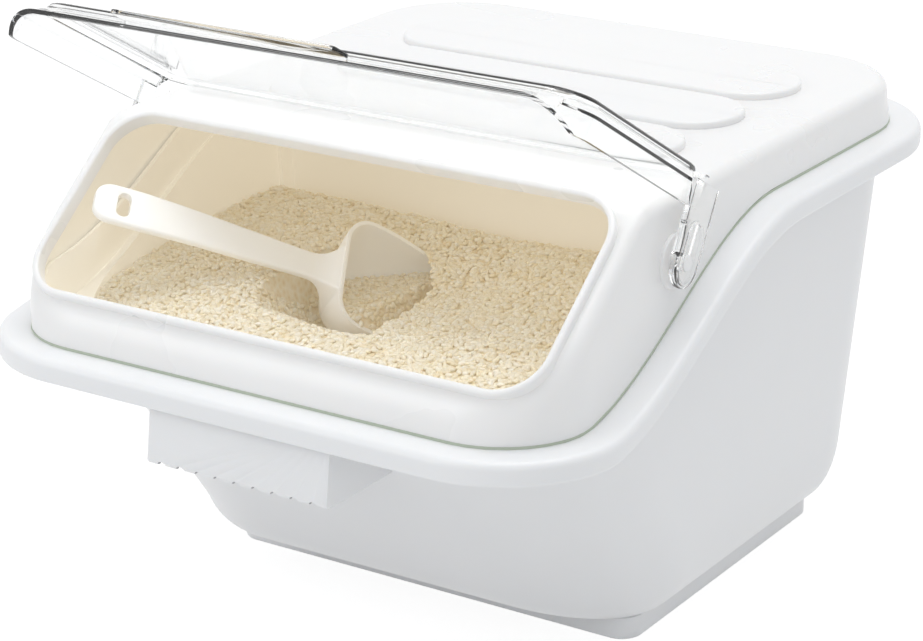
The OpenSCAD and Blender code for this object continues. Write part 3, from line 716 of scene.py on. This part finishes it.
def lid_shell():
    border = LID_TOP - PLATEAU_H
    inside = [(9.6, 5, 20.5, 18, PLATE_N), (9.2, 4.8, 19.5, 19, PLATE_N - 0.8),
              (8, 4.4, 17.5, 20, border - LID_T + 1), (0.8 + LID_T, LID_T + 0.4, 4.6 + LID_T, 23, LID_FOLD - 1.4)]
    outside = [(0.7, 0.2, 4.6, 25, LID_FOLD), (5.6, 0.6, 14.5, 22, border), (6.8, 1, 16, 21, border + 0.2),
               (7.6, 1.6, 18, 20, LID_TOP - 0.8), (8.8, 2.6, 20, 18, LID_TOP)]

    def smooth(profile, ends):
        """Rounds each bend of the section with a short curve."""
        pts = [np.array(p, float) for p in profile]
        out = [pts[0]]
        for a, b, c in zip(pts, pts[1:], pts[2:]):
            for t in (0.25, 0.75):
                before, after = mix(b, a, 0.3), mix(b, c, 0.3)
                p = (1 - t) ** 2 * before + 2 * t * (1 - t) * b + t * t * after
                if t == 0.25:
                    out.append(before)
                out.append(p)
            out.append(mix(b, c, 0.3))
        return out + [pts[-1]]

    rings = [lid_ring(*p) for p in smooth(inside, 0)] + [lid_edge(LID_T, 24), lid_edge(LID_T / 2, 25), lid_edge(0, 26)]
    rings += [lid_ring(*p) for p in smooth(outside, 0)]
    return loft(rings)


def lid(material):
    obj = make("lid_panel", *lid_shell(), material)
    parts = []
    for s in (-1, 1):
        side = axes((s * (LID_HW - LID_T / 2 + ARM_T / 2) - ARM_T / 2, 0, 0), (0, 1, 0), (0, 0, 1), (1, 0, 0))
        arm = [(ARM_W / 2 * math.cos(math.radians(a)), ARM_W / 2 * math.sin(math.radians(a))) for a in range(180, 361, 6)]
        arm += [(ARM_W / 2, LID_FOLD + 0.9), (-ARM_W / 2, LID_FOLD + 0.9)]
        parts.append(split(make("arm", *prism(arm, 0, ARM_T, side, edge=0.4))))
        outer = rounded_rect(-RING_W / 2, RING_W / 2, -ARM_W / 2 + 1.2, -ARM_W / 2 + 1.2 + RING_L, RING_W / 2 - 0.01, 12)
        inner = rounded_rect(-RING_W / 2 + 1.3, RING_W / 2 - 1.3, -ARM_W / 2 + 2.5, -ARM_W / 2 - 0.1 + RING_L, RING_W / 2 - 1.31, 12)
        low, high = (ARM_T - 0.4, ARM_T + 0.8) if s > 0 else (-0.8, 0.4)
        rim = split(make("rim", *prism(outer, low, high, side, edge=0.3)))
        combine(rim, [split(make("inside", *prism(inner, low - 1, high + 1, side)))], "DIFFERENCE")
        parts.append(rim)
    y0 = LID_FRONT - LID_REACH + 6.3
    parts.append(make("tab", *prism(rounded_rect(TAB_X - TAB_W / 2, TAB_X + TAB_W / 2, y0 - 7.5, y0 + 7.5, 3),
                                    LID_TOP - PLATEAU_H - 1.3, LID_TOP - PLATEAU_H + 0.8, edge=0.4)))
    combine(obj, parts, "UNION")
    bores = []
    for s in (-1, 1):
        side = axes((s * (LID_HW - LID_T - 1), 0, 0), (0, 0, -1), (0, -s, 0), (s, 0, 0))
        bores.append(make("bore", *prism(circle(PIN_R + PIN_PLAY), 0, ARM_T + LID_T + 2, side)))
        across = axes((s * (LID_HW - LID_T - 1), 0, 0), (0, 1, 0), (0, 0, 1), (s, 0, 0))
        slit = rounded_rect(-SLIT_W / 2, SLIT_W / 2, PIN_R - 1, PIN_R + SLIT_L, SLIT_W / 2 - 0.01, 6)
        bores.append(make("slit", *prism(slit, 0, ARM_T + LID_T + 2, across)))
    combine(obj, bores, "DIFFERENCE")
    obj.data.transform(Matrix.Scale(1, 4))
    place = Matrix.Scale(MM, 4) @ LID_TURN @ Matrix.Scale(1 / MM, 4)
    obj.data.transform(place)
    return obj


# ------------------------------------------------------------------ scoop
SCOOP_PLACE = (Matrix.Translation(SCOOP_AT) @ Matrix.Rotation(math.radians(SCOOP_TURN[2]), 4, "Z")
               @ Matrix.Rotation(math.radians(SCOOP_TURN[1]), 4, "Y") @ Matrix.Rotation(math.radians(SCOOP_TURN[0]), 4, "X"))


def bowl_hw(s):
    return BOWL_W / 2 * (1 - 0.42 * s ** 3.2)


def bowl_depth(s):
    return mix(BOWL_H, 5, s ** 1.6)


def corner(x, r):
    """How far a wall stands in at x because the bowl's back is rounded."""
    return r - math.sqrt(r * r - max(0, r - x) ** 2)


def u_ring(x, hw, h, t, top, steps=32):
    a = np.pi + np.pi * np.arange(steps + 1) / steps
    rounding = corner(x - t, BOWL_R - t)
    z = h + (h - t - rounding * 0.6) * np.sin(a)
    z[0] = z[-1] = top
    return np.column_stack([np.full(steps + 1, x), (hw - t - rounding) * np.cos(a), z])


def strip_loft(rings):
    n, m = len(rings[0]), len(rings)
    faces = [(k * n + i, k * n + (i + 1) % n, (k + 1) * n + (i + 1) % n, (k + 1) * n + i) for k in range(m - 1) for i in range(n)]
    faces += [tuple(range(n))[::-1], tuple(range((m - 1) * n, m * n))]
    return np.vstack(rings), faces


def grip_ring(x):
    """Section of the handle at x: wide at its tip, narrow at the bowl, flaring into the bowl's back."""
    near = share(1 + x / 16)
    tip = share((-x - SCOOP_HANDLE + 9) / 9)
    half = mix(mix(7.6, SCOOP_HANDLE_W / 2, share((-x - 20) / 85)), 14, near ** 2.4) - 7 * (1 - math.sqrt(1 - tip ** 2))
    low = mix(BOWL_H - 12, 13, near ** 2.6)
    high = mix(BOWL_H - 12 + SCOOP_HANDLE_T, BOWL_H - 1, near ** 3)
    bend = 3.2 * share((-x - 66) / 62) ** 2
    edge = min(1.6, half / 3)
    pts = []
    for cy, cz, a0 in ((half - edge, high - edge, 0), (edge - half, high - edge, 90),
                       (edge - half, low + edge, 180), (half - edge, low + edge, 270)):
        for k in range(6):
            a = math.radians(a0 + 18 * k)
            pts.append((x, cy + edge * math.cos(a), cz + edge * math.sin(a) - bend))
    return np.array(pts)


def scoop(material):
    xs = np.concatenate([BOWL_R * (1 - np.cos(np.linspace(0, np.pi / 2, 9))), np.linspace(BOWL_R, BOWL_L, 24)[1:]])
    obj = make("scoop_body", *strip_loft([u_ring(x, bowl_hw(x / BOWL_L), bowl_depth(x / BOWL_L), 0, bowl_depth(x / BOWL_L))
                                          for x in xs]), material)
    deep = BOWL_T + (BOWL_R - BOWL_T) * (1 - np.cos(np.linspace(0, np.pi / 2, 9)))
    inner = make("inner", *strip_loft([u_ring(x, bowl_hw(x / BOWL_L), bowl_depth(x / BOWL_L), BOWL_T, BOWL_H + 2)
                                       for x in np.concatenate([deep, np.linspace(BOWL_R, BOWL_L + 2, 24)[1:]])]))
    grip = make("grip", *strip_loft([grip_ring(x) for x in np.concatenate([
        -SCOOP_HANDLE + 9 * (1 - np.cos(np.linspace(0, np.pi / 2, 9))), np.linspace(-114, -18, 19),
        np.linspace(-16, BOWL_T, 13)])]), material)
    slot = make("slot", *prism(rounded_rect(11 - SCOOP_HANDLE, 18 - SCOOP_HANDLE, -7, 7, 3.4, 6), BOWL_H - 20, BOWL_H))
    combine(grip, [slot], "DIFFERENCE")
    combine(obj, [grip], "UNION")
    combine(obj, [inner], "DIFFERENCE")
    soften(obj, 0.5, 2, 50)
    obj.data.transform(Matrix.Scale(MM, 4) @ SCOOP_PLACE @ Matrix.Scale(1 / MM, 4))
    return obj


# ------------------------------------------------------------------ rice
def grain_shape(sides=7):
    """One grain of unit half sizes, lying along Z."""
    rings = [(0.62, -0.8), (0.95, -0.42), (1.0, 0.1), (0.86, 0.55), (0.5, 0.86)]
    unit = [(0, 0, -1)]
    for r, u in rings:
        unit += [(r * math.cos(2 * math.pi * k / sides), r * math.sin(2 * math.pi * k / sides), u) for k in range(sides)]
    unit.append((0, 0, 1))
    faces = [(0, 1 + (k + 1) % sides, 1 + k) for k in range(sides)]
    for j in range(len(rings) - 1):
        a, b = 1 + j * sides, 1 + (j + 1) * sides
        faces += [(a + k, a + (k + 1) % sides, b + (k + 1) % sides, b + k) for k in range(sides)]
    a = 1 + (len(rings) - 1) * sides
    faces += [(a + k, a + (k + 1) % sides, len(unit) - 1) for k in range(sides)]
    return np.array(unit), faces


def grains(name, bed, count, low, high, material, lift=(0.1, 1.0), keep_off=None):
    """Short rice grains strewn over the upward faces of bed, each half sunk and turned at random."""
    bm = bmesh.new()
    bm.from_mesh(bed.data)
    tree = BVHTree.FromBMesh(bm)
    unit, faces = grain_shape()
    verts, polys, shades = [], [], []
    tries = 0
    while len(verts) < count and tries < count * 6:
        tries += 1
        x, y = rng.uniform(low[0], high[0]), rng.uniform(low[1], high[1])
        keys = rng.uniform(0, 1, 6)
        hit, normal, _, _ = tree.ray_cast(Vector((x, y, 300)) * MM, Vector((0, 0, -1)))
        if hit is None or normal.z < 0.35:
            continue
        if keep_off and keep_off.find_nearest(hit)[3] < 2.6 * MM:
            continue
        wide, thick, long = 1.15 + 0.2 * keys[0], 0.95 + 0.2 * keys[1], 1.85 + 0.45 * keys[2]
        spin = keys[3] * 2 * math.pi
        tilt = (keys[4] - 0.5) * 0.7
        along = Vector((math.cos(spin), math.sin(spin), 0))
        along = (along - normal * along.dot(normal)).normalized()
        side = normal.cross(along)
        along = (along * math.cos(tilt) + normal * math.sin(tilt)).normalized()
        up = along.cross(side).normalized()
        turn = np.array([list(side * wide), list(up * thick), list(along * long)]) * MM
        centre = np.array(hit) + np.array(normal) * mix(lift[0], lift[1], keys[5]) * MM
        start = len(verts) * len(unit)
        verts.append(unit @ turn + centre)
        polys += [tuple(start + v for v in f) for f in faces]
        shades.append(keys[5] * 0.5 + keys[0] * 0.5)
    bm.free()
    mesh = bpy.data.meshes.new(name)
    mesh.from_pydata(np.vstack(verts).tolist(), [], polys)
    tone = mesh.attributes.new("shade", "FLOAT", "POINT")
    tone.data.foreach_set("value", np.repeat(np.array(shades, np.float32), len(unit)))
    obj = bpy.data.objects.new(name, mesh)
    bpy.context.scene.collection.objects.link(obj)
    mesh.materials.append(material)
    mesh.shade_smooth()
    return obj


def tree_of(*objects):
    bm = bmesh.new()
    for obj in objects:
        bm.from_mesh(obj.data)
    tree = BVHTree.FromBMesh(bm)
    bm.free()
    return tree


def rice(materials, scoop_obj):
    """The heap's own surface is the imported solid; grains lie all over it. A load of rice fills the scoop's bowl."""
    dress("rice", materials[1])
    heap = grains("rice_grains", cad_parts["rice"], 14500, (-158, -212), (158, -23), materials[0],
                  keep_off=tree_of(scoop_obj))
    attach(heap, "tub")
    stations = np.linspace(0, 1, 31) ** 1.6 * 0.95
    xs = [BOWL_T + 0.2 + s * (BOWL_L - BOWL_T) for s in stations]
    rings = [u_ring(x, bowl_hw(x / BOWL_L), bowl_depth(x / BOWL_L), BOWL_T + 0.2, bowl_depth(x / BOWL_L) - 0.5) for x in xs]
    load = make("scooped_rice", *strip_loft(rings), materials[1])
    load.data.transform(Matrix.Scale(MM, 4) @ SCOOP_PLACE @ Matrix.Scale(1 / MM, 4))
    under = make("under", *prism(rounded_rect(-200, 200, -260, 60, 10), 40, LOAD_Z), materials[1])
    combine(load, [under], "INTERSECT")
    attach(load, "scoop")
    low, high = np.array(load.bound_box).min(0) / MM, np.array(load.bound_box).max(0) / MM
    topping = grains("scooped_grains", load, 900, low, high, materials[0], lift=(-0.2, 0.6))
    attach(topping, "scoop")


def dress(node, material):
    """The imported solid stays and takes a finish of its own."""
    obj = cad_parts[node]
    if obj.material_slots:
        for s in obj.material_slots:
            s.material = material
    else:
        obj.data.materials.append(material)


# ------------------------------------------------------------------ the object
def build():
    camera()
    studio()
    tub_white = plastic("tub_polypropylene", (0.84, 0.845, 0.855), (0.88, 0.88, 0.885), 0.34, through=0.15)
    cover_white = plastic("cover_polypropylene", (0.87, 0.865, 0.86), (0.90, 0.895, 0.89), 0.28, through=0.15)
    # the inside's warm cream tint stands in for light bounced off the rice, and its glow for light through the walls:
    # painted light on the same white plastic
    inner_painted_light = plastic("inner_painted_warm_light", (0.90, 0.86, 0.77), (0.92, 0.885, 0.81), 0.4, glow=0.16)
    # painted shade: a dark grey for the faces cut by the pull's notches, so that the grooves look shaded
    notch_painted_shade = plastic("notch_painted_shade_grey", (0.42, 0.42, 0.43), (0.46, 0.46, 0.47), 0.5)
    # the scoop's glow is painted light, standing in for light through its thin walls
    scoop_white = plastic("scoop_polypropylene", (0.89, 0.88, 0.86), (0.91, 0.905, 0.89), 0.3, through=0.15, glow=0.09)
    seal_green = plastic("seal_rubber", (0.46, 0.52, 0.42), (0.52, 0.57, 0.47), 0.6, grain=0.2)
    glass = clear_plastic()

    finish_piece(tub(tub_white, inner_painted_light), "tub", replaces=("tub",))
    finish_piece(handle(tub_white, notch_painted_shade), "tub")
    finish_piece(cover(cover_white, inner_painted_light), "cover", replaces=("cover",))
    finish_piece(lid(glass), "lid", 30, ("lid",))
    scoop_obj = finish_piece(scoop(scoop_white), "scoop", replaces=("scoop",))
    dress("divider", inner_painted_light)
    dress("rim_seal", seal_green)
    rice((rice_material("rice_grain", True), rice_material("rice_bed", False)), scoop_obj)


bpy.context.scene.view_settings.view_transform = "Standard"
build()
bpy.context.view_layer.update()
